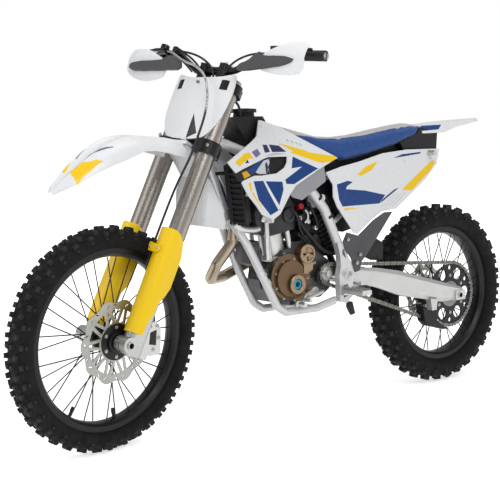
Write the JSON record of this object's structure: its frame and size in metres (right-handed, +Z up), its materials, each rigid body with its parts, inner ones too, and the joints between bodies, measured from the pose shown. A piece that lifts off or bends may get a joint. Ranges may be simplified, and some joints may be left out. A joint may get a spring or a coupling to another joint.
{
  "type": "motocross bike",
  "caption": "Off-road competition motorcycle with knobbly wire wheels, tubular frame, open single-cylinder engine and blue bench seat.",
  "frame": {"origin": "on top of the seat where the rider sits, on the bike's centre plane, 948 mm above the ground", "axes": "+X forwards, +Y to the rider's left, +Z up"},
  "size_m": [2.1861, 0.819, 1.2745],
  "materials": {
    "bare_aluminium": "bead blasted",
    "black_aluminium": "black anodised",
    "black_plastic": "black moulded plastic",
    "bronze_cover": "bronze coat",
    "cast_aluminium": "sand cast",
    "chain_steel": "oiled",
    "dark_grey_plastic": "dark grey moulded plastic",
    "fork_anodised": "grey anodised",
    "frame_paint": "silver white powder coat",
    "grey_plastic": "grey moulded plastic",
    "grip_rubber": "soft rubber",
    "seat_cover": "textured blue cover",
    "steel": "machined",
    "titanium": "heat tinted",
    "tyre_rubber": "knobbly rubber",
    "white_plastic": "white moulded plastic",
    "yellow_plastic": "yellow moulded plastic"
  },
  "bodies": {
    "chassis": {"chain": "chain_steel", "chain_guide": "black_plastic", "cradle_tubes": "frame_paint", "crankcase": "cast_aluminium", "cylinder": "bare_aluminium", "cylinder_head": "cast_aluminium", "engine_covers": "bronze_cover", "exhaust_header": "titanium", "foot_controls": "bare_aluminium", "frame_guards": "dark_grey_plastic", "front_sprocket": "steel", "fuel_cap": "black_plastic", "fuel_tank": "black_plastic", "head_frame": "frame_paint", "intake": "black_plastic", "main_tubes": "frame_paint", "pivot_castings": "frame_paint", "radiator_guards": "black_plastic", "radiators": "bare_aluminium", "rear_axle": "steel", "rear_caliper": "black_aluminium", "rear_fender": "white_plastic", "rear_shock": "black_aluminium", "seat": "seat_cover", "shrouds": "white_plastic", "side_panels": "white_plastic", "silencer": "bare_aluminium", "subframe": "bare_aluminium", "swingarm": "bare_aluminium", "tail_box": "black_plastic", "tank_panels": "grey_plastic"},
    "steering": {"triple_clamps": "black_aluminium", "fork_tubes": "fork_anodised", "fork_sliders": "steel", "fork_guards": "yellow_plastic", "front_fender": "white_plastic", "number_plate": "white_plastic", "handlebar": "black_aluminium", "grips": "grip_rubber", "handguards": "white_plastic", "handguard_brackets": "dark_grey_plastic", "hand_controls": "black_aluminium", "front_brake_hose": "black_plastic", "front_caliper": "bare_aluminium", "front_axle": "steel"},
    "front_wheel": {"front_tyre": "tyre_rubber", "front_rim": "black_aluminium", "front_hub": "black_aluminium", "front_disc": "steel"},
    "rear_wheel": {"rear_tyre": "tyre_rubber", "rear_rim": "black_aluminium", "rear_hub": "black_aluminium", "rear_disc": "steel", "rear_sprocket": "black_aluminium"}
  },
  "joints": [
    {"name": "steering_turn", "type": "hinge", "parent": "chassis", "child": "steering", "pos_m": [0.54598, 0, 0.05779], "axis": [-0.4399, 0, 0.898], "range_deg": [-50.2, 33.8]},
    {"name": "front_wheel_spin", "type": "hinge", "parent": "steering", "child": "front_wheel", "pos_m": [0.93444, 0.00861, -0.59927], "axis": [-0.1281, 0.9898, -0.0627], "continuous": true},
    {"name": "rear_wheel_spin", "type": "hinge", "parent": "chassis", "child": "rear_wheel", "pos_m": [-0.56, 0, -0.604], "axis": [0, 1, 0], "continuous": true}
  ]
}
